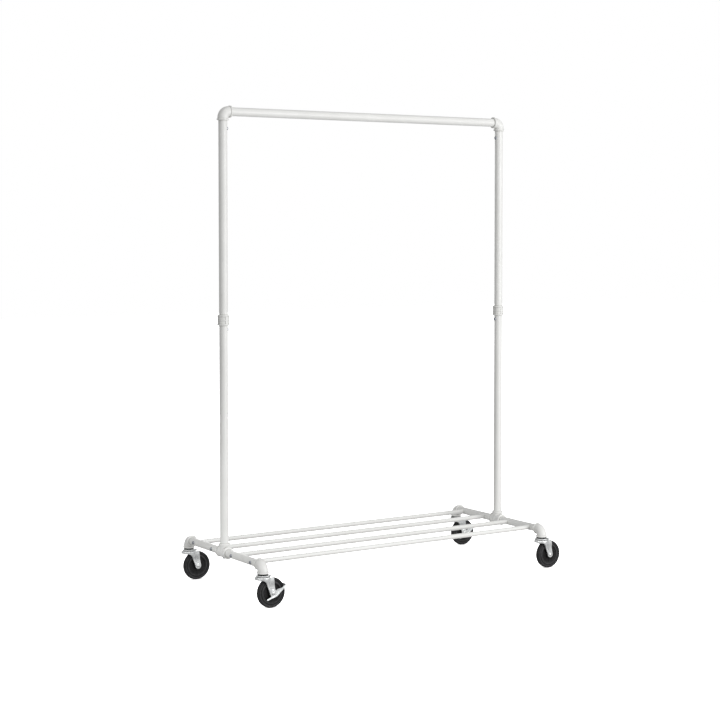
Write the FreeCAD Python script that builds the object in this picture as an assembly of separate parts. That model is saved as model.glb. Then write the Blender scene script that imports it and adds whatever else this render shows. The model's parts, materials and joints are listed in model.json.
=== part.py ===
import FreeCAD, Part
import math
import os

from FreeCAD import Placement, Rotation, Vector

# A rolling garment rail built from round tube and cast pipe fittings, in millimetres.
# +X runs along the rail from left to right, +Y to the back, +Z up. The origin is on the
# floor, under the middle of the whole part with its casters trailing to the right.

# ---- driving dimensions -------------------------------------------------------------
# the frame
post_spacing = 1100.0         # between the two post axes
side_height = 135.0           # side-tube and shelf-rod axes above the floor
rail_rise = 1400.0            # rail axis above the side-tube axis
caster_span = 492.0           # between the front and rear caster stems
coupling_rise = 741.0         # middle of the post coupling above the side-tube axis
shelf_rod_places = {"rear": 190.0, "mid_rear": 66.0, "mid_front": -66.0, "front": -190.0}

# tubes
post_r = 14.0
post_wall = 1.5
side_r = 12.5
side_wall = 1.5
rod_r = 8.0
rod_wall = 1.2

# cast fittings
fitting_r = 17.0              # body of the elbows and tees
bead_r = 19.2                 # reinforcing bead round each socket
bead_width = 6.0
bead_round = 2.0
bend_r = 20.0                 # centre line of an elbow's bend
fitting_arm = 28.0            # from the centre of a fitting to the end of its socket
base_elbow_arm = 26.0
socket_depth = 14.0
waterway_r = 10.5             # hollow inside a fitting, behind its sockets
coupling_length = 33.5
coupling_r = 17.3
coupling_bead_r = 20.0
coupling_bead_width = 5.5
coupling_band_width = 5.0
coupling_rib_count = 6
coupling_rib_width = 3.6
coupling_rib_r = 18.8
tee_ball_r = 18.2             # swelling round the middle of a tee

# joints inside the posts
sleeve_wall = 2.2
sleeve_seat = 20.0            # how far a top sleeve reaches into its elbow
sleeve_grip = 60.0            # its length at the screw that holds it
sleeve_above = 30.0           # reach of a middle sleeve above its coupling
post_screw_drop = 53.0        # top screw below the rail axis
coupling_screw_drop = 30.0    # middle screw below the coupling's centre
plug_length = 22.0
plug_seat = 2.0               # a plug sits this far up inside its post

# screws
screw_r = 3.0
screw_clearance = 0.1
screw_head_r = 5.5
screw_head_height = 3.4
screw_seat = 1.6              # the head's rim reaches this far round the tube
screw_socket = 4.0            # across flats
post_screw_length = 9.0
rod_screw_grip = 15.0         # length of a shelf rod screw inside its rod
rod_insert_length = 20.0
rod_insert_gap = 0.2          # from the side tube to the insert
tee_bolt_r = 4.0

# casters
trail = 28.0                  # from the swivel axis to the wheel's axle
wheel_r = 47.5
tread_half = 9.2
tread_crown = 1.2
tyre_inner_r = 37.0
wall_half = 8.4               # half width of the wheel over its rim, inside the tyre's edge
seam_half = 6.4               # half width where the tyre meets the wheel's centre
hub_r = 11.0
hub_half = 10.4
web_half = 4.6
spoke_count = 10
spoke_width = 2.6
spoke_rise = 1.4
axle_r = 4.0
bolt_head = 12.0              # across flats
bolt_head_height = 3.4
nut_height = 6.5
bolt_past_nut = 1.5
running_gap = 0.08            # radial, between a shaft and the hole it turns in
body_gap = 0.3                # between faces of parts that move past each other
stem_r = 5.0
stem_insert_length = 13.0
stem_past_insert = 3.0
washer_r = 16.6
washer_height = 4.0
race_r = 22.5
race_height = 2.5
rivet_r = 8.0
rivet_height = 3.0
crown_r = 25.5
crown_top = 99.5              # height of the fork's top face above the floor
crown_lip = 91.0              # lowest edge of the lip round the crown
crown_round = 3.0
shoulder_top = 103.5          # the legs stand higher than the crown, outside the race
shoulder_gap = 1.3            # radial, between the race and the shoulders
sheet = 2.5                   # thickness of the fork's pressed sheet
fork_shoulder = 19.0          # outside half width at the crown
fork_foot = 14.0              # outside half width at the axle
fork_slot = 11.0              # half the gap that the wheel runs in
fork_end_r = 10.0
fork_step_r = 28.0            # bends where the legs step in
fork_front = -16.0            # the legs' front corner, under the lip
leg_rib_half = 3.0
leg_rib_rise = 1.2
ball_r = 2.3
ball_circle_r = 17.5
ball_count = 20
ball_groove = 0.1             # the crown's groove is this much larger than the balls

# brake lever, on two of the casters
lever_thickness = 1.6
pedal_width = 5.5
pedal_round = 2.5
ear_r = 10.5
tread_tab_gap = 0.9
tread_tab_width = 7.0
lever_reach = 50.6            # from the axle to the far edge of the lever

beyond = 40.0                 # how far a cutting shape runs past what it cuts

# ---- places worked out from them ----------------------------------------------------
mid_x = -(trail + wheel_r - crown_r) / 2
post_x = {"left": mid_x - post_spacing / 2, "right": mid_x + post_spacing / 2}
inward = {"left": 1, "right": -1}
end_y = {"front": -caster_span / 2, "rear": caster_span / 2}
rail_height = side_height + rail_rise
coupling_height = side_height + coupling_rise
post_bore = post_r - post_wall
side_bore = side_r - side_wall
stem_seat = side_height - base_elbow_arm
race_top = stem_seat - washer_height
race_under = race_top - race_height
ball_height = (crown_top + race_under) / 2
axle_height = wheel_r
brake_casters = [("front", "left"), ("rear", "right")]

X = Vector(1, 0, 0)
Y = Vector(0, 1, 0)
Z = Vector(0, 0, 1)


# ---- shared shapes --------------------------------------------------------------------
def rod(radius, start, end):
    """A solid cylinder between two points."""
    return Part.makeCylinder(radius, (end - start).Length, start, end - start)


def tube(radius, bore, start, end):
    """A straight tube between two points."""
    along = (end - start).normalize()
    return rod(radius, start, end).cut(rod(bore, start - along, end + along))


def outline(points):
    """A wire through points; a middle point in brackets makes an arc of its stretch."""
    edges = []
    last = points[0]
    for point in points[1:] + points[:1]:
        if isinstance(point, tuple):
            middle, point = point
            edges.append(Part.Arc(last, middle, point).toShape())
        elif point != last:
            edges.append(Part.makeLine(last, point))
        last = point
    return Part.Wire(edges)


def turned(points, centre, axis):
    """A solid of revolution; the points lie in a half plane through the axis."""
    return Part.Face(outline(points)).revolve(centre, axis, 360)


def bead(radius, width, end, outward, rounding=bead_round):
    """A band with rounded edges whose outer face is at end."""
    band = rod(radius, end - outward * width, end)
    rims = [e for e in band.Edges if isinstance(e.Curve, Part.Circle)]
    return band.makeFillet(rounding, rims)


def level_rims(body, above):
    """The round edges of a body that lie higher than a given height."""
    return [e for e in body.Edges if isinstance(e.Curve, Part.Circle) and e.BoundBox.ZMin > above]


def hexagon(across_flats, height, base, axis):
    """A six-sided prism standing on base along axis."""
    corner = across_flats / math.sqrt(3)
    places = [math.radians(60 * i) for i in range(7)]
    ring = [Vector(corner * math.cos(a), corner * math.sin(a), 0) for a in places]
    prism = Part.Face(Part.makePolygon(ring)).extrude(Z * height)
    prism.Placement = Placement(base, Rotation(Z, axis))
    return prism


def button_screw(seat, outward, length, shank_r, around=None):
    """A button-head screw whose head rests at seat; around is the round bar it sits on."""
    flat_r = screw_head_r * 0.5
    shoulder = screw_head_height * 0.25
    bend = Vector(screw_head_r * 0.86, 0, screw_head_height * 0.75)
    head = turned(
        [
            Vector(0, 0, -screw_seat),
            Vector(screw_head_r, 0, -screw_seat),
            Vector(screw_head_r, 0, shoulder),
            (bend, Vector(flat_r, 0, screw_head_height)),
            Vector(0, 0, screw_head_height),
        ],
        Vector(),
        Z,
    )
    head = head.cut(hexagon(screw_socket, screw_head_height, Z * (screw_head_height * 0.4), Z))
    head.Placement = Placement(seat, Rotation(Z, outward))
    if around is not None:
        head = head.cut(around)
    return head.fuse(rod(shank_r, seat - outward * length, seat)).removeSplitter()


def bent_bar(radius, arm, along, down):
    """A round bar that comes in along one direction and turns to leave along the other."""
    corner = (along + down) * bend_r
    disc = Part.Face(Part.Wire(Part.makeCircle(radius, along * bend_r, along)))
    bend = disc.revolve(corner, along.cross(down), -90)
    bar = bend.fuse(rod(radius, along * bend_r, along * arm))
    return bar.fuse(rod(radius, down * bend_r, down * arm))


# ---- cast fittings ----------------------------------------------------------------------
def elbow(centre, along, arm, socket_r, sleeve_depth):
    """A pipe elbow that turns from the level to straight down, with a bead at each end.

    Both sockets are of socket_r. The lower one goes on upwards as a seat for a post's
    sleeve, to sleeve_depth from its mouth.
    """
    down = -Z
    body = bent_bar(fitting_r, arm, along, down)
    for way in (along, down):
        body = body.fuse(bead(bead_r, bead_width, way * arm, way))
    hollow = bent_bar(waterway_r, arm + 1, along, down)
    for way in (along, down):
        hollow = hollow.fuse(rod(socket_r, way * (arm - socket_depth), way * (arm + 1)))
    hollow = hollow.fuse(rod(post_bore, down * (arm - sleeve_depth), down * (arm + 1)))
    body = body.cut(hollow).removeSplitter()
    body.translate(centre)
    return body


def base_tee(side):
    """The tee that carries a post on the side tubes, with a bolt hole in its underside."""
    run_end = Y * fitting_arm
    branch_end = Z * fitting_arm
    body = rod(fitting_r, -run_end, run_end).fuse(rod(fitting_r, Vector(), branch_end))
    body = body.fuse(Part.makeSphere(tee_ball_r))
    for end, way in ((run_end, Y), (-run_end, -Y), (branch_end, Z)):
        body = body.fuse(bead(bead_r, bead_width, end, way))
    hollow = rod(waterway_r, -run_end, run_end)
    hollow = hollow.fuse(rod(waterway_r, Vector(), branch_end))
    for way, radius in ((Y, side_r), (-Y, side_r), (Z, post_r)):
        hollow = hollow.fuse(rod(radius, way * (fitting_arm - socket_depth), way * (fitting_arm + 1)))
    hollow = hollow.fuse(rod(tee_bolt_r + screw_clearance, Vector(), -Z * beyond))
    body = body.cut(hollow).removeSplitter()
    body.translate(Vector(post_x[side], 0, side_height))
    return body


def post_coupling(side):
    """The cast coupling half way up a post: a bead at each end, a middle band and ribs."""
    half = Z * (coupling_length / 2)
    body = rod(coupling_r, -half, half)
    body = body.fuse(bead(coupling_bead_r, coupling_bead_width, half, Z))
    body = body.fuse(bead(coupling_bead_r, coupling_bead_width, -half, -Z))
    body = body.fuse(bead(coupling_rib_r, coupling_band_width, Z * (coupling_band_width / 2), Z))
    rib_length = coupling_length - coupling_bead_width
    rib_block = Part.makeBox(coupling_rib_r, coupling_rib_width, rib_length)
    rib_block.translate(Vector(0, -coupling_rib_width / 2, -rib_length / 2))
    rib = rib_block.common(rod(coupling_rib_r, -half, half))
    for i in range(coupling_rib_count):
        one = rib.copy()
        one.rotate(Vector(), Z, 360.0 * (i + 0.5) / coupling_rib_count)
        body = body.fuse(one)
    body = body.cut(rod(post_r, -half * 2, half * 2)).removeSplitter()
    body.translate(Vector(post_x[side], 0, coupling_height))
    return body


# ---- tubes and rods ---------------------------------------------------------------------
def at_post(side, height):
    """A point on a post's axis."""
    return Vector(post_x[side], 0, height)


def top_rail():
    """The hanging rail, from the socket of one top elbow to the other."""
    inset = X * (fitting_arm - socket_depth)
    start = at_post("left", rail_height) + inset
    return tube(post_r, post_bore, start, at_post("right", rail_height) - inset)


def post_screw_hole(side, height, radius):
    """The drilling for a post screw, from the axis through the inner face of the post."""
    start = at_post(side, height)
    return rod(radius, start, start + X * (inward[side] * beyond))


def upper_post(side):
    """The upper length of a post, with the hole for the screw under its elbow."""
    top = at_post(side, rail_height - fitting_arm + socket_depth)
    post = tube(post_r, post_bore, at_post(side, coupling_height), top)
    return post.cut(post_screw_hole(side, rail_height - post_screw_drop, screw_r + screw_clearance))


def lower_post(side):
    """The lower length of a post, with the hole for the screw under the coupling."""
    foot = at_post(side, side_height + fitting_arm - socket_depth)
    post = tube(post_r, post_bore, foot, at_post(side, coupling_height))
    height = coupling_height - coupling_screw_drop
    return post.cut(post_screw_hole(side, height, screw_r + screw_clearance))


def side_tube(end, side):
    """Half of a base side: from the tee's socket to the socket of a base elbow."""
    x = post_x[side]
    way = math.copysign(1, end_y[end])
    start = Vector(x, way * (fitting_arm - socket_depth), side_height)
    stop = Vector(x, end_y[end] - way * (base_elbow_arm - socket_depth), side_height)
    part = tube(side_r, side_bore, start, stop)
    for y in shelf_rod_places.values():
        if y * way > 0:
            centre = Vector(x, y, side_height)
            part = part.cut(rod(screw_r + screw_clearance, centre - X * beyond, centre + X * beyond))
    return part


def shelf_rod(y):
    """A shelf rod, its ends hollowed to sit against the round side tubes."""
    start = Vector(post_x["left"], y, side_height)
    end = Vector(post_x["right"], y, side_height)
    part = tube(rod_r, rod_r - rod_wall, start, end)
    for centre in (start, end):
        part = part.cut(rod(side_r, centre - Y * beyond, centre + Y * beyond))
    return part


# ---- pieces inside the joints -------------------------------------------------------------
def post_sleeves():
    """The spigots inside the posts: one hangs from each top elbow, one from each coupling."""
    sleeves = []
    for side in post_x:
        levels = (
            (rail_height - fitting_arm + sleeve_seat, rail_height - post_screw_drop),
            (coupling_height + sleeve_above, coupling_height - coupling_screw_drop),
        )
        for top, screw_height in levels:
            foot = screw_height - sleeve_grip / 2
            sleeve = tube(post_bore, post_bore - sleeve_wall, at_post(side, foot), at_post(side, top))
            sleeves.append(sleeve.cut(post_screw_hole(side, screw_height, screw_r)))
    return sleeves


def post_screws():
    """The four screws through the inner faces of the posts into the sleeves."""
    screws = []
    for side in post_x:
        outward = X * inward[side]
        for height in (rail_height - post_screw_drop, coupling_height - coupling_screw_drop):
            axis_point = at_post(side, height)
            around = rod(post_r, axis_point - Z * beyond, axis_point + Z * beyond)
            seat = axis_point + outward * post_r
            screws.append(button_screw(seat, outward, post_screw_length, screw_r, around))
    return screws


def post_plugs():
    """The threaded plugs in the feet of the posts."""
    plugs = []
    for side in post_x:
        foot = at_post(side, side_height + fitting_arm - socket_depth + plug_seat)
        plugs.append(tube(post_bore, tee_bolt_r, foot, foot + Z * plug_length))
    return plugs


def tee_bolts():
    """The upright bolts that pull each post down into its tee, from below."""
    bolts = []
    for side in post_x:
        centre = at_post(side, side_height)
        around = rod(tee_ball_r, centre - Y * beyond, centre + Y * beyond)
        reach = fitting_r + fitting_arm - socket_depth + plug_length
        bolts.append(button_screw(centre - Z * tee_ball_r, -Z, reach, tee_bolt_r, around))
    return bolts


def shelf_rod_screws():
    """One long screw through each side tube into each end of each shelf rod."""
    screws = []
    for side in post_x:
        outward = X * -inward[side]
        for y in shelf_rod_places.values():
            centre = Vector(post_x[side], y, side_height)
            around = rod(side_r, centre - Y * beyond, centre + Y * beyond)
            seat = centre + outward * side_r
            length = side_r * 2 + rod_screw_grip
            screws.append(button_screw(seat, outward, length, screw_r, around))
    return screws


def rod_inserts():
    """The threaded plugs inside the ends of the shelf rods."""
    inserts = []
    for side in post_x:
        for y in shelf_rod_places.values():
            along = X * inward[side]
            start = Vector(post_x[side], y, side_height) + along * (side_r + rod_insert_gap)
            inserts.append(tube(rod_r - rod_wall, screw_r, start, start + along * rod_insert_length))
    return inserts


# ---- casters, each made round its own stem, then carried to its corner ---------------------
def at_corners(make):
    """One copy of a piece at the foot of each base elbow."""
    pieces = []
    for y in end_y.values():
        for x in post_x.values():
            piece = make()
            piece.translate(Vector(x, y, 0))
            pieces.append(piece)
    return pieces


def stem_insert():
    """The threaded bush inside the foot of a base elbow."""
    return tube(side_r, stem_r, Z * stem_seat, Z * (stem_seat + stem_insert_length))


def stem_washer():
    """The black washer between an elbow and its caster."""
    washer = bead(washer_r, washer_height, Z * stem_seat, Z, 0.8)
    return washer.cut(rod(stem_r, Vector(), Z * side_height))


def caster_stem():
    """Threaded stem, upper ball race and kingpin, riveted over under the fork's crown."""
    rim = race_r - 1.0
    race = turned(
        [
            Vector(0, 0, race_under),
            Vector(rim, 0, race_under),
            (Vector(race_r, 0, race_under + 1.2), Vector(rim, 0, race_under + 2.4)),
            Vector(washer_r, 0, race_top),
            Vector(0, 0, race_top),
        ],
        Vector(),
        Z,
    )
    race = race.cut(Part.makeTorus(ball_circle_r, ball_r + body_gap, Z * ball_height, Z))
    rivet_top = crown_top - sheet - body_gap
    rivet_foot = rivet_top - rivet_height
    stem = rod(stem_r, Z * rivet_foot, Z * (stem_seat + stem_insert_length + stem_past_insert))
    rivet = turned(
        [
            Vector(0, 0, rivet_foot),
            Vector(rivet_r * 0.7, 0, rivet_foot),
            (Vector(rivet_r * 0.92, 0, rivet_foot + rivet_height * 0.4), Vector(rivet_r, 0, rivet_top)),
            Vector(0, 0, rivet_top),
        ],
        Vector(),
        Z,
    )
    return race.fuse(stem).fuse(rivet).removeSplitter()


def bearing_balls():
    """The ring of steel balls between the crown and the upper race."""
    balls = []
    for i in range(ball_count):
        angle = 2 * math.pi * i / ball_count
        centre = Vector(math.cos(angle), math.sin(angle), 0) * ball_circle_r + Z * ball_height
        balls.append(Part.makeSphere(ball_r, centre))
    return balls


def fork_side(grow):
    """The fork's outline seen from the side, drawn in the XZ plane; grow moves it outwards."""
    end_r = fork_end_r + grow
    end_top = axle_height + 1.5
    front = fork_front - grow
    back = trail + 0.5 + grow
    top = shoulder_top + grow
    return Part.Face(
        outline(
            [
                Vector(trail - end_r, 0, end_top),
                (Vector(trail, 0, axle_height - end_r), Vector(trail + end_r, 0, end_top)),
                Vector(back, 0, top - 7.5),
                (Vector(back - 1.5, 0, top - 2.0), Vector(back - 5.5, 0, top)),
                Vector(front, 0, top),
                Vector(front, 0, crown_lip - grow),
                (
                    Vector(-1.0 - grow * 0.6, 0, crown_lip - 5.0 - grow * 0.8),
                    Vector(6.0 - grow * 0.95, 0, crown_lip - 14.0 - grow * 0.4),
                ),
            ]
        )
    )


def fork_bar(grow):
    """The fork's section seen from the front, carried along X; its legs step in under the crown."""
    shoulder = fork_shoulder + grow
    foot = fork_foot + grow
    top = shoulder_top + grow
    corner = 5.0 + grow
    lean = corner * (1 - math.sqrt(0.5))
    step = (fork_shoulder - fork_foot) / 2
    turn = math.acos(1 - step / fork_step_r)
    half_in = fork_step_r * (1 - math.cos(turn / 2))
    half_drop = fork_step_r * math.sin(turn / 2)
    bend_top = crown_lip - 1.0
    bend_middle = bend_top - fork_step_r * math.sin(turn)
    bend_foot = bend_middle - fork_step_r * math.sin(turn)
    low = axle_height - fork_end_r * 2
    half = outline(
        [
            Vector(0, 0, low),
            Vector(0, foot, low),
            Vector(0, foot, bend_foot),
            (Vector(0, foot + half_in, bend_foot + half_drop), Vector(0, foot + step, bend_middle)),
            (Vector(0, shoulder - half_in, bend_top - half_drop), Vector(0, shoulder, bend_top)),
            Vector(0, shoulder, top - corner),
            (Vector(0, shoulder - lean, top - lean), Vector(0, shoulder - corner, top)),
            Vector(0, 0, top),
        ]
    )
    bar = Part.Face(half).extrude(X * (2 * beyond))
    bar.translate(X * (trail - beyond))
    return bar.fuse(bar.mirror(Vector(), Y)).removeSplitter()


def side_slab(face, half_width):
    """A face in the XZ plane made solid, as far to the front as to the back."""
    slab = face.extrude(Y * (2 * half_width))
    slab.translate(Y * -half_width)
    return slab


def lying_box(start_x, half_width, top):
    """A box from the floor to top, as far to the front as to the back, open-ended behind."""
    return Part.makeBox(2 * beyond, 2 * half_width, top, Vector(start_x, -half_width, 0))


def pressed_rib():
    """The stiffening rib pressed outwards down the middle of each leg."""
    low = Vector(trail - 4.5, 0, axle_height + 16.0)
    high = Vector(trail - 13.5, 0, crown_lip - 3.0)
    along = (high - low).normalize()
    aside = Vector(along.z, 0, -along.x) * leg_rib_half
    stadium = outline(
        [
            low + aside,
            (low - along * leg_rib_half, low - aside),
            high - aside,
            (high + along * leg_rib_half, high + aside),
        ]
    )
    rib = side_slab(Part.Face(stadium), beyond).common(fork_bar(leg_rib_rise))
    return rib.cut(lying_box(-beyond, fork_foot - 1.0, shoulder_top))


def fork_legs():
    """The two flanged legs with their shoulders, which stand round the race."""
    outside = side_slab(fork_side(0), beyond).common(fork_bar(0))
    inside = side_slab(fork_side(-sheet), beyond).common(fork_bar(-sheet))
    clear_r = race_r + shoulder_gap
    legs = outside.fuse(pressed_rib()).cut(inside)
    riser = tube(clear_r + sheet, clear_r, Z * crown_lip, Z * (shoulder_top + 1)).common(outside)
    return legs.fuse(riser).cut(rod(clear_r, Z * crown_top, Z * (crown_top + beyond)))


def fork_crown():
    """The round crown: a flat dish with a deep lip, open behind where the wheel runs."""
    crown = rod(crown_r, Z * crown_lip, Z * crown_top)
    crown = crown.makeFillet(crown_round, level_rims(crown, crown_lip + 1))
    crown = crown.cut(rod(crown_r - sheet, Vector(), Z * (crown_top - sheet)))
    return crown.cut(lying_box(0, fork_slot, crown_top - sheet))


def caster_fork():
    """The pressed fork: a crown with two flanged legs that trail behind the swivel axis."""
    legs = fork_legs().cut(lying_box(-beyond, fork_slot, crown_top - sheet))
    fork = fork_crown().fuse(legs)
    fork = fork.cut(rod(stem_r + running_gap, Vector(), Z * side_height))
    fork = fork.cut(Part.makeTorus(ball_circle_r, ball_r + ball_groove, Z * ball_height, Z))
    return fork.cut(rod(axle_r, axle_point(-beyond), axle_point(beyond))).removeSplitter()


def axle_point(y):
    """A point on the wheel's axle line."""
    return Vector(trail, y, axle_height)


def axle_bolt(braked):
    """The axle bolt; on a braked caster it is longer, to carry the lever under its head."""
    head_y = -(fork_foot + (lever_thickness + 2 * body_gap if braked else 0.0))
    shank = rod(axle_r, axle_point(head_y), axle_point(fork_foot + nut_height + bolt_past_nut))
    head = hexagon(bolt_head, bolt_head_height, axle_point(head_y), -Y)
    dome = Part.makeSphere(bolt_head * 0.75, axle_point(head_y + bolt_head * 0.45))
    return head.common(dome).fuse(shank).removeSplitter()


def axle_nut():
    """The lock nut on the back end of the axle bolt."""
    nut = hexagon(bolt_head, nut_height, axle_point(fork_foot), Y)
    dome = Part.makeSphere(bolt_head * 0.8, axle_point(fork_foot + 0.5))
    return nut.common(dome).cut(rod(axle_r, axle_point(0), axle_point(beyond)))


def wheel_turned(profile, crown):
    """A wheel part of revolution: (radius, half width) points, then arcs over the tread, if any."""
    near_side = [axle_point(-half) + X * radius for radius, half in profile]
    far_side = [axle_point(half) + X * radius for radius, half in reversed(profile)]
    return turned(near_side + crown + far_side[len(crown) and 1:], axle_point(0), Y)


def wheel_core():
    """The wheel's moulded centre: hub, web with low spokes on both faces, and a sloping rim."""
    rim_r = tyre_inner_r - 6.5
    profile = [
        (axle_r + running_gap, hub_half),
        (hub_r - 1.0, hub_half),
        (hub_r, hub_half - 1.0),
        (hub_r + 2.5, web_half),
        (rim_r - 4.0, web_half),
        (rim_r, wall_half - 0.4),
        (rim_r + 0.6, wall_half),
        (rim_r + 2.6, wall_half),
        (rim_r + 3.2, wall_half - 0.4),
        (tyre_inner_r, seam_half),
    ]
    core = wheel_turned(profile, [])
    half_thick = web_half + spoke_rise
    spoke = Part.makeBox(rim_r - hub_r + 1.0, 2 * half_thick, spoke_width)
    spoke.translate(axle_point(-half_thick) + Vector(hub_r - 1.0, 0, -spoke_width / 2))
    for i in range(spoke_count):
        one = spoke.copy()
        one.rotate(axle_point(0), Y, 360.0 * (i + 0.5) / spoke_count)
        core = core.fuse(one)
    return core.removeSplitter()


def tyre():
    """The solid rubber tyre: a crowned tread, and side walls that slope in to the wheel's centre."""
    edge_r = wheel_r - tread_crown
    profile = [
        (tyre_inner_r, seam_half),
        (tyre_inner_r + 1.2, seam_half),
        (edge_r - 4.6, tread_half - 0.2),
        (edge_r - 4.0, tread_half),
        (edge_r - 2.6, tread_half),
    ]
    crown = [
        (
            axle_point(0.8 - tread_half) + X * (edge_r - 0.8),
            axle_point(2.6 - tread_half) + X * edge_r,
        ),
        (axle_point(0) + X * wheel_r, axle_point(tread_half - 2.6) + X * edge_r),
        (
            axle_point(tread_half - 0.8) + X * (edge_r - 0.8),
            axle_point(tread_half) + X * (edge_r - 2.6),
        ),
    ]
    return wheel_turned(profile, crown)


def lever_plate(heel, knee, tip):
    """The lever's side plate, round its ear at the axle."""
    plate = outline(
        [
            heel,
            knee,
            tip,
            tip + Vector(-1.6, 0, 2.6),
            Vector(30.0, 0, 13.2),
            Vector(15.0, 0, 11.2),
            Vector(8.4, 0, 6.3),
            (Vector(0, 0, ear_r), Vector(-8.4, 0, 6.3)),
            Vector(-7.5, 0, -11.0),
            heel + Vector(0, 0, 1.8),
        ]
    )
    return Part.Face(plate).extrude(Y * -lever_thickness)


def lever_pedal(heel, knee, tip):
    """The flange turned outwards along the lever's lower edge, which the foot presses."""
    thick = Z * lever_thickness
    bar = Part.Face(outline([heel, knee, tip, tip + thick, knee + thick, heel + thick]))
    bar = bar.extrude(Y * -pedal_width)
    plan = Part.makeBox(tip.x - heel.x, pedal_width, 2 * beyond, Vector(heel.x, -pedal_width, -beyond))
    outer = [e for e in plan.Edges if e.Length > beyond and e.BoundBox.YMax < -pedal_width / 2]
    upright = [e for e in outer if e.BoundBox.ZLength > beyond]
    return bar.common(plan.makeFillet(pedal_round, upright))


def tread_tab(tip, near_y):
    """The tab at the lever's far end, which comes down on the tread."""
    inner = wheel_r + tread_tab_gap
    width = tread_half - near_y
    tab = Part.makeBox(lever_reach - inner, width, tread_tab_width)
    tab.translate(Vector(inner, -lever_thickness, -tread_tab_width / 2))
    tab.rotate(Vector(), Y, -math.degrees(math.atan2(tip.z + 1.2, tip.x - 0.9)))
    return tab


def brake_lever():
    """The pressed lever that turns on the axle bolt: side plate, pedal and a tab over the tread."""
    near_y = -(fork_foot + body_gap)
    heel = Vector(-23.0, 0, -20.8)
    knee = Vector(11.0, 0, -10.0)
    tip = Vector(46.3, 0, 20.2)
    lever = lever_plate(heel, knee, tip).fuse(lever_pedal(heel, knee, tip))
    lever = lever.fuse(tread_tab(tip, near_y))
    lever.translate(axle_point(near_y))
    hole = rod(axle_r + running_gap, axle_point(-beyond), axle_point(0))
    return lever.cut(hole).removeSplitter()


# ---- writing the nodes ----------------------------------------------------------------------
def write(name, pieces):
    """Write one node: a single solid, or a group of alike solids."""
    shape = Part.makeCompound(pieces) if isinstance(pieces, list) else pieces
    shape.exportStep("parts/" + name + ".step")


def write_frame():
    """The fixed frame: rail, posts, fittings, side tubes, shelf rods and what joins them."""
    write("top_rail", top_rail())
    for side, x in post_x.items():
        rail_end = Vector(x, 0, rail_height)
        head = elbow(rail_end, X * inward[side], fitting_arm, post_r, sleeve_seat)
        write("top_elbow_" + side, head)
        write("upper_post_" + side, upper_post(side))
        write("post_coupling_" + side, post_coupling(side))
        write("lower_post_" + side, lower_post(side))
        write("base_tee_" + side, base_tee(side))
        for end, y in end_y.items():
            corner = Vector(x, y, side_height)
            along = Y * -math.copysign(1, y)
            write("side_tube_" + end + "_" + side, side_tube(end, side))
            foot = elbow(corner, along, base_elbow_arm, side_r, socket_depth)
            write("base_elbow_" + end + "_" + side, foot)
    for place, y in shelf_rod_places.items():
        write("shelf_rod_" + place, shelf_rod(y))
    write("post_sleeves", post_sleeves())
    write("post_screws", post_screws())
    write("post_plugs", post_plugs())
    write("tee_bolts", tee_bolts())
    write("shelf_rod_screws", shelf_rod_screws())
    write("shelf_rod_inserts", rod_inserts())
    write("stem_inserts", at_corners(stem_insert))
    write("stem_washers", at_corners(stem_washer))
    write("caster_stems", at_corners(caster_stem))


def write_casters():
    """The four casters: what swivels, what rolls, and the two brake levers."""
    for end, y in end_y.items():
        for side, x in post_x.items():
            corner = Vector(x, y, 0)
            name = end + "_" + side
            braked = (end, side) in brake_casters
            pieces = {
                "_fork": caster_fork(),
                "_axle_bolt": axle_bolt(braked),
                "_axle_nut": axle_nut(),
                "_wheel_core": wheel_core(),
                "_tyre": tyre(),
            }
            if braked:
                pieces["_brake_lever"] = brake_lever()
            for piece, shape in pieces.items():
                shape.translate(corner)
                write(name + piece, shape)
            balls = bearing_balls()
            for ball in balls:
                ball.translate(corner)
            write(name + "_balls", balls)


os.makedirs("parts", exist_ok=True)
write_frame()
write_casters()
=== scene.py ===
import json
import math

import bpy
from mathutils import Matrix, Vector


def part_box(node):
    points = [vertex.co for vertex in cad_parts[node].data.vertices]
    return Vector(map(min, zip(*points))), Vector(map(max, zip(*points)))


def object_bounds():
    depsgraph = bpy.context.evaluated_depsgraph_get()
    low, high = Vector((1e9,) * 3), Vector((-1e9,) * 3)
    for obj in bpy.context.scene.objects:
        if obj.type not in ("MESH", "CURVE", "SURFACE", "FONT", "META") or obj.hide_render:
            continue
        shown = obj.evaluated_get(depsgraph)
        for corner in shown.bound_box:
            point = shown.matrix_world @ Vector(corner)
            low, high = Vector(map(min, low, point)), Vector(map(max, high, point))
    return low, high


# The garment rail: white powder-coated pipe on zinc-plated casters, in a pale studio.

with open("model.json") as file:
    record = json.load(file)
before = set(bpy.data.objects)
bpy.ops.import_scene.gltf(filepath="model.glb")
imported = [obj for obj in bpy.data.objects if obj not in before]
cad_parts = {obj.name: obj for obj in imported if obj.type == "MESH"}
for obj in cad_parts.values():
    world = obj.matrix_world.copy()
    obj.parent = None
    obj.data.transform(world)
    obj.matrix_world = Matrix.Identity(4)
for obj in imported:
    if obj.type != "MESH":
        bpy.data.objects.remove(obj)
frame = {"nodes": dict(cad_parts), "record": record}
cad_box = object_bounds()


def middle_of(node):
    """The middle of a CAD node's box at rest."""
    low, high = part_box(node)
    return (low + high) / 2


# ---- camera -------------------------------------------------------------------------------
LENS = 83.06                        # mm, on a 36 mm sensor
CAMERA_BACK = Vector((-3.0656, -4.6378, 1.0426))    # from the middle of the shelf to the camera
CAMERA_TURN = -33.18                # degrees; negative is to the right of straight along +Y
CAMERA_TILT = 2.672                 # degrees down
CAMERA_SHIFT = -0.08                # keeps the posts nearly upright in the picture
FAR_CLIP = 100.0                    # metres, past the edge of the floor


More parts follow.
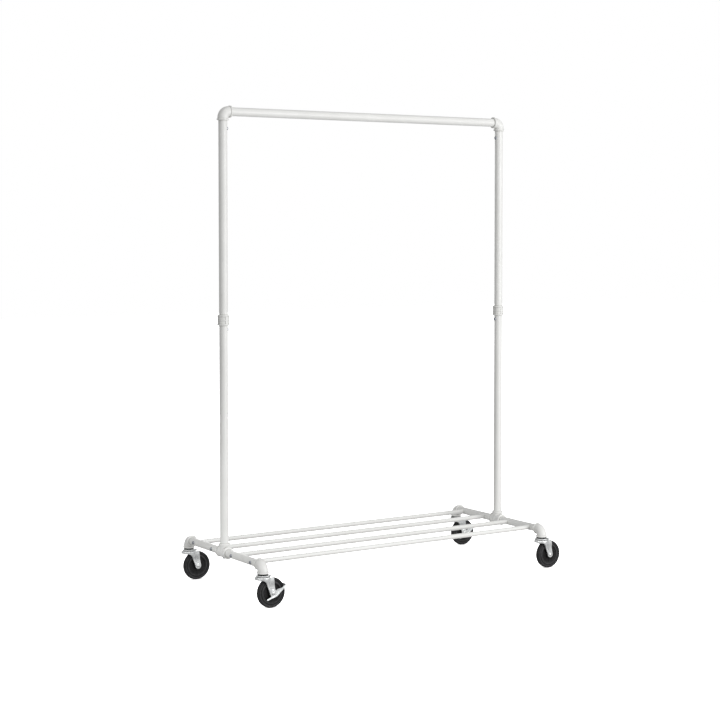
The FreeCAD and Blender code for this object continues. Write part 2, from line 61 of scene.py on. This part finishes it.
def make_camera():
    """A long lens to the front left of the rail, looking slightly down."""
    shelf = (middle_of("base_tee_left") + middle_of("base_tee_right")) / 2
    shelf.z = middle_of("shelf_rod_front").z
    data = bpy.data.cameras.new("camera")
    data.lens = LENS
    data.shift_y = CAMERA_SHIFT
    data.clip_end = FAR_CLIP
    camera = bpy.data.objects.new("camera", data)
    bpy.context.scene.collection.objects.link(camera)
    camera.location = shelf + CAMERA_BACK
    camera.rotation_euler = (math.radians(90 - CAMERA_TILT), 0, math.radians(CAMERA_TURN))
    bpy.context.scene.camera = camera


# ---- finishes -----------------------------------------------------------------------------
# Patterns are sized by their features to the metre, and reliefs are in metres.
GLASSY = 1.5                        # index of refraction of paint, rubber and plastic
# Painted shade: the powder coat's colour is made darker where other surfaces stand near, as in a crease.
CREASE_SHADE_REACH = 0.005                 # metres; how near two surfaces stand where shade is painted into the paint's colour
CREASE_SHADE_SAMPLES = 8                   # rays that look for such surfaces
TUBE_CREASE_SHADE = (0.62, 0.62, 0.59)     # painted shade: what is left of the paint's brightness in a crease
CASTING_CREASE_SHADE = (0.46, 0.46, 0.42)
PAINT_DULL = (0.755, 0.755, 0.735)  # the two warm whites that the paint drifts between
PAINT_CLEAN = (0.815, 0.815, 0.80)
PAINT_DRIFT = 9.0
PAINT_HANDLED = 45.0                # patches that hands have made smoother or duller
PEEL = 2600.0                       # orange peel in the paint itself
PEEL_RELIEF = 0.00001
ZINC_METAL = 0.75                   # how metallic plate is; a little less than full is milky
ZINC_CRYSTALS = 420.0
ZINC_CLOUDS = 120.0
ZINC_RELIEF = 0.0005
ROLLING_MARKS = 900.0
ROLLING_RELIEF = 0.00002
TURNING_MARKS = 400.0
TURNING_RELIEF = 0.00001
SCUFFS = 60.0
SCUFF_TONE = 2.1                    # how much paler a scuff is than clean rubber
RUBBER_WORN = 130.0                 # patches worn smoother or duller
RUBBER_GRAIN = 1500.0
RUBBER_RELIEF = 0.00004


class Finish:
    """A material put together from nodes round one Principled shader."""

    def __init__(self, name, **sockets):
        self.material = bpy.data.materials.new(name)
        self.material.use_nodes = True
        self.tree = self.material.node_tree
        self.shader = self.tree.nodes["Principled BSDF"]
        for socket, value in sockets.items():
            self.shader.inputs[socket.replace("_", " ")].default_value = value
        self.place = self.tree.nodes.new("ShaderNodeTexCoord").outputs["Object"]

    def node(self, kind, **inputs):
        """A new node, each named input set or linked."""
        made = self.tree.nodes.new(kind)
        for socket, value in inputs.items():
            target = made.inputs[socket.replace("_", " ")]
            if isinstance(value, bpy.types.NodeSocket):
                self.tree.links.new(value, target)
            else:
                target.default_value = value
        return made

    def stretched(self, scale):
        """The object's own coordinates, scaled by axis."""
        return self.node("ShaderNodeMapping", Vector=self.place, Scale=scale).outputs[0]

    def noise(self, scale, detail, place=None, distortion=0.0):
        """Cloudy noise over the piece, with scale features to the metre."""
        made = self.node(
            "ShaderNodeTexNoise",
            Vector=place or self.place, Scale=scale, Detail=detail, Distortion=distortion,
        )
        return made.outputs["Fac"]

    def cells(self, scale):
        """A random colour for each cell of a crystal pattern."""
        return self.node("ShaderNodeTexVoronoi", Vector=self.place, Scale=scale).outputs["Color"]

    def span(self, value, low, high, start=0.0, stop=1.0):
        """Carries value from start..stop to low..high."""
        made = self.node("ShaderNodeMapRange", Value=value)
        for name, number in (("From Min", start), ("From Max", stop), ("To Min", low), ("To Max", high)):
            made.inputs[name].default_value = number
        return made.outputs["Result"]

    def shades(self, value, *stops):
        """A colour ramp of (position, colour) stops."""
        made = self.node("ShaderNodeValToRGB", Fac=value)
        ramp = made.color_ramp
        for i, (position, colour) in enumerate(stops):
            stop = ramp.elements[i] if i < 2 else ramp.elements.new(position)
            stop.position = position
            stop.color = (*colour, 1)
        return made.outputs["Color"]

    def openness(self, reach):
        """0 deep in a crease and 1 in the clear, by what stands within reach."""
        made = self.node("ShaderNodeAmbientOcclusion", Distance=reach)
        made.samples = CREASE_SHADE_SAMPLES
        return made.outputs["AO"]

    def round_axle(self):
        """How far out on a wheel, from 0 on its axle to 1 at the edge of its own box."""
        centred = self.tree.nodes.new("ShaderNodeMapping")
        centred.inputs["Location"].default_value = (-1, 0, -1)
        centred.inputs["Scale"].default_value = (2, 0, 2)
        box = self.tree.nodes.new("ShaderNodeTexCoord").outputs["Generated"]
        self.tree.links.new(box, centred.inputs["Vector"])
        length = self.tree.nodes.new("ShaderNodeVectorMath")
        length.operation = "LENGTH"
        self.tree.links.new(centred.outputs[0], length.inputs[0])
        return length.outputs["Value"]

    def tinted(self, a, b):
        """One colour multiplied by another."""
        made = self.tree.nodes.new("ShaderNodeVectorMath")
        made.operation = "MULTIPLY"
        for socket, colour in zip(made.inputs, (a, b)):
            self.tree.links.new(colour, socket)
        return made.outputs[0]

    def add(self, a, b):
        """The sum of two values."""
        made = self.tree.nodes.new("ShaderNodeMath")
        made.operation = "ADD"
        for socket, value in zip(made.inputs, (a, b)):
            self.tree.links.new(value, socket)
        return made.outputs[0]

    def feed(self, socket, value):
        """Links a value to one of the shader's inputs."""
        self.tree.links.new(value, self.shader.inputs[socket])

    def bump(self, height, depth):
        """Adds relief of a depth in metres on top of what is there."""
        made = self.node("ShaderNodeBump", Height=height, Distance=depth, Strength=1.0)
        normal = self.shader.inputs["Normal"]
        if normal.is_linked:
            self.tree.links.new(normal.links[0].from_socket, made.inputs["Normal"])
        self.tree.links.new(made.outputs[0], normal)


def grey(shade):
    """A neutral colour."""
    return (shade, shade, shade)


def powder_coat(name, grain, relief, crease_shade):
    """White powder coat: a warm grey white with orange peel; castings are coarser under it."""
    coat = Finish(name, Metallic=0.0, IOR=GLASSY)
    paint = coat.shades(coat.noise(PAINT_DRIFT, 3.0), (0.25, PAINT_DULL), (0.75, PAINT_CLEAN))
    # painted shade: the colour darkens in creases, where other surfaces stand near
    crease_shading = coat.shades(coat.openness(CREASE_SHADE_REACH), (0.35, crease_shade), (0.85, grey(1.0)))
    coat.feed("Base Color", coat.tinted(paint, crease_shading))
    coat.feed("Roughness", coat.span(coat.noise(PAINT_HANDLED, 3.0), 0.36, 0.50))
    coat.bump(coat.noise(grain, 3.0), relief)
    coat.bump(coat.noise(PEEL, 1.0), PEEL_RELIEF)
    return coat.material


def zinc(name, dark, bright):
    """Zinc plate: crystals and clouds of a lighter and a darker grey, and faint rolling marks."""
    plate = Finish(name, Metallic=ZINC_METAL)
    crystals = plate.node("ShaderNodeSeparateColor", Color=plate.cells(ZINC_CRYSTALS)).outputs[0]
    cloud = plate.noise(ZINC_CLOUDS, 5.0, distortion=0.8)
    blend = plate.add(plate.span(crystals, 0.0, 0.35), plate.span(cloud, 0.0, 0.65, 0.32, 0.68))
    low = (dark * 0.975, dark, dark * 1.01)
    high = (bright * 0.985, bright, bright * 0.995)
    plate.feed("Base Color", plate.shades(blend, (0.2, low), (0.8, high)))
    plate.feed("Roughness", plate.span(blend, 0.36, 0.16))
    plate.bump(cloud, ZINC_RELIEF)
    plate.bump(plate.noise(ROLLING_MARKS, 2.0, plate.stretched((1, 1, 0.12))), ROLLING_RELIEF)
    return plate.material


def steel(name, shade, rough):
    """Bare steel with fine turning and handling marks."""
    metal = Finish(name, Metallic=1.0)
    marks = metal.noise(TURNING_MARKS, 4.0, metal.stretched((1, 1, 4)))
    low = tuple(0.8 * c for c in shade)
    metal.feed("Base Color", metal.shades(marks, (0.3, low), (0.7, shade)))
    metal.feed("Roughness", metal.span(marks, rough - 0.08, rough + 0.1))
    metal.bump(marks, TURNING_RELIEF)
    return metal.material


def rubber(name, shade, rough, *ring_highlights_and_shade):
    """Black rubber or moulded plastic with a fine grain and pale scuffs.

    Rings are (place, tone) pairs for a wheel: its tone at each place between axle and edge, which paints
    highlights on proud rings and shade in grooves.
    """
    black = Finish(name, Metallic=0.0, IOR=GLASSY, Specular_IOR_Level=0.15)
    scuffs = black.noise(SCUFFS, 5.0, distortion=1.2)
    low = (shade, shade, shade * 1.04)
    high = tuple(SCUFF_TONE * c for c in low)
    colour = black.shades(scuffs, (0.45, low), (0.8, high))
    if ring_highlights_and_shade:
        # painted highlights and shade in rings round the axle
        tones = black.shades(black.round_axle(), *((place, grey(tone)) for place, tone in ring_highlights_and_shade))
        colour = black.tinted(colour, tones)
    black.feed("Base Color", colour)
    black.feed("Roughness", black.span(black.noise(RUBBER_WORN, 3.0), rough - 0.1, rough + 0.12))
    black.bump(black.noise(RUBBER_GRAIN, 3.0), RUBBER_RELIEF)
    return black.material


# painted highlights and shade: tone at each place from the axle to the edge, pale as a highlight where a
# ring stands proud, dark as shade in a groove and, on the core, towards the hub
TYRE_RING_HIGHLIGHTS_AND_SHADE = ((0.79, 0.25), (0.82, 1.0), (0.93, 0.9), (0.955, 0.25), (0.975, 1.1), (0.99, 0.7))
CORE_RING_HIGHLIGHTS_AND_SHADE = ((0.40, 0.12), (0.70, 0.35), (0.84, 0.6), (0.90, 1.5), (0.95, 0.9), (0.99, 0.4))


def finishes():
    """One material for each of the record's slots."""
    return {
        "tube_white": powder_coat("tube_white", 520.0, 0.00003, TUBE_CREASE_SHADE),
        "casting_white": powder_coat("casting_white", 300.0, 0.00012, CASTING_CREASE_SHADE),
        "zinc_plate": zinc("zinc_plate", 0.60, 1.0),
        "bolt_zinc": zinc("bolt_zinc", 0.50, 0.80),
        "screw_steel": steel("screw_steel", (0.36, 0.375, 0.41), 0.34),
        "bearing_steel": steel("bearing_steel", grey(0.62), 0.2),
        "inner_steel": steel("inner_steel", grey(0.5), 0.35),
        "tyre_rubber": rubber("tyre_rubber", 0.030, 0.50, *TYRE_RING_HIGHLIGHTS_AND_SHADE),
        "wheel_plastic": rubber("wheel_plastic", 0.034, 0.40, *CORE_RING_HIGHLIGHTS_AND_SHADE),
        "washer_black": rubber("washer_black", 0.006, 0.5),
    }


def dress(made):
    """Gives every CAD node the finish of its slot in the record."""
    for part in frame["record"]["subparts"]:
        piece = frame["nodes"][part["node"]]
        piece.data.materials.clear()
        piece.data.materials.append(made[part["material_slot"]])


# ---- studio -------------------------------------------------------------------------------
KEY_TURN = 20.0                     # degrees round from -Y towards +X
KEY_RISE = 5.0                      # degrees above the middle of the rail
KEY_AWAY = 4.6                      # metres
KEY_SIZE = 2.6                      # metres across, as is the back light
KEY_POWER = 112.0                   # watts
BACK_ASIDE = 1.2                    # metres towards +X from the middle of the rail
BACK_AWAY = 4.6                     # metres behind it
BACK_POWER = 52.0                   # about half the key; keeps the rail pale from behind too
FILL_PLACE = Vector((-5.5, -0.4, 1.9))
FILL_POWER = 0.26                   # watts, which a narrow beam makes the most of
FILL_SIZE = 0.6
FILL_SPREAD = 7.0                   # degrees; keeps the fill to the foot of the rail
AMBIENT_WAY = (0.40, -0.84, 0.30)   # the room is brightest towards here
AMBIENT = (0.38, 0.70)              # its darkest and brightest light on a matt surface
GLOSS_WAY = (-0.35, -0.90, 0.15)
GLOSS = (0.10, 1.45)                # what a polished surface mirrors: dark behind, pale ahead
FLOOR_SIZE = 30.0                   # metres
FLOOR_TO_EYE = 3.2                  # how bright the floor looks, which keeps it near white
FLOOR_TO_LIGHT = 0.62               # what it really throws back on the rail
FLOOR_TO_GLOSS = 0.62               # what polished surfaces mirror of it


def area_light(name, place, aim, size, power):
    """A round soft light at place that faces aim."""
    data = bpy.data.lights.new(name, "AREA")
    data.shape = "DISK"
    data.size = size
    data.energy = power
    light = bpy.data.objects.new(name, data)
    bpy.context.scene.collection.objects.link(light)
    light.location = place
    light.rotation_euler = (aim - place).to_track_quat("-Z", "Y").to_euler()
    light.visible_camera = False
    return data


def make_lights():
    """A wide soft key right of the camera, a weaker one behind, and a narrow fill for the foot."""
    turn, rise = math.radians(KEY_TURN), math.radians(KEY_RISE)
    away = Vector((math.sin(turn) * math.cos(rise), -math.cos(turn) * math.cos(rise), math.sin(rise)))
    low, high = cad_box
    middle = (low + high) / 2
    area_light("key", middle + away * KEY_AWAY, middle, KEY_SIZE, KEY_POWER)
    behind = middle + Vector((BACK_ASIDE, BACK_AWAY, 0))
    area_light("back", behind, middle, KEY_SIZE, BACK_POWER)
    aim = Vector((middle.x, middle.y, low.z))
    fill = area_light("fill", FILL_PLACE, aim, FILL_SIZE, FILL_POWER)
    fill.spread = math.radians(FILL_SPREAD)


def link_world(tree, way, towards, strengths):
    """A background whose strength follows how far a direction is towards a given one."""
    facing = tree.nodes.new("ShaderNodeVectorMath")
    facing.operation = "DOT_PRODUCT"
    facing.inputs[1].default_value = towards
    tree.links.new(way, facing.inputs[0])
    shade = tree.nodes.new("ShaderNodeMapRange")
    shade.interpolation_type = "SMOOTHSTEP"
    shade.inputs["From Min"].default_value = -1
    shade.inputs["To Min"].default_value, shade.inputs["To Max"].default_value = strengths
    tree.links.new(facing.outputs["Value"], shade.inputs["Value"])
    room = tree.nodes.new("ShaderNodeBackground")
    room.inputs["Color"].default_value = (1, 1, 1, 1)
    tree.links.new(shade.outputs["Result"], room.inputs["Strength"])
    return room.outputs[0]


def choose(tree, switch, off, on):
    """One shader where a light path's switch is off, and another where it is on."""
    choice = tree.nodes.new("ShaderNodeMixShader")
    tree.links.new(switch, choice.inputs["Fac"])
    tree.links.new(off, choice.inputs[1])
    tree.links.new(on, choice.inputs[2])
    return choice.outputs[0]


def make_surround():
    """A pale room: brighter ahead than behind the rail, and plain white to look at."""
    world = bpy.data.worlds.new("room")
    bpy.context.scene.world = world
    world.use_nodes = True
    world.cycles.sampling_method = "NONE"
    tree = world.node_tree
    tree.nodes.clear()
    way = tree.nodes.new("ShaderNodeTexCoord").outputs["Generated"]
    path = tree.nodes.new("ShaderNodeLightPath")
    matt = link_world(tree, way, AMBIENT_WAY, AMBIENT)
    gloss = link_world(tree, way, GLOSS_WAY, GLOSS)
    white = tree.nodes.new("ShaderNodeBackground")
    white.inputs["Color"].default_value = (1, 1, 1, 1)
    room = choose(tree, path.outputs["Is Glossy Ray"], matt, gloss)
    seen = choose(tree, path.outputs["Is Camera Ray"], room, white.outputs[0])
    out = tree.nodes.new("ShaderNodeOutputWorld")
    tree.links.new(seen, out.inputs["Surface"])


def make_floor():
    """A plain pale floor, open from below so that the underside can be seen."""
    half = FLOOR_SIZE / 2
    mesh = bpy.data.meshes.new("floor")
    corners = [(-half, -half, 0), (half, -half, 0), (half, half, 0), (-half, half, 0)]
    mesh.from_pydata(corners, [], [(0, 1, 2, 3)])
    floor = bpy.data.objects.new("floor", mesh)
    bpy.context.scene.collection.objects.link(floor)
    material = bpy.data.materials.new("floor")
    material.use_nodes = True
    tree = material.node_tree
    tree.nodes.clear()
    path = tree.nodes.new("ShaderNodeLightPath")
    tones = []
    for tone in (FLOOR_TO_LIGHT, FLOOR_TO_GLOSS, FLOOR_TO_EYE):
        matt = tree.nodes.new("ShaderNodeBsdfDiffuse")
        matt.inputs["Color"].default_value = (tone, tone, tone, 1)
        tones.append(matt.outputs[0])
    clear = tree.nodes.new("ShaderNodeBsdfTransparent")
    side = tree.nodes.new("ShaderNodeNewGeometry")
    top = choose(tree, path.outputs["Is Glossy Ray"], tones[0], tones[1])
    top = choose(tree, path.outputs["Is Camera Ray"], top, tones[2])
    out = tree.nodes.new("ShaderNodeOutputMaterial")
    tree.links.new(choose(tree, side.outputs["Backfacing"], top, clear.outputs[0]), out.inputs["Surface"])
    mesh.materials.append(material)


def make_studio():
    """Lights, surround and floor, with colours shown as they are."""
    make_lights()
    make_surround()
    make_floor()
    bpy.context.scene.view_settings.view_transform = "Standard"


make_camera()
dress(finishes())
make_studio()
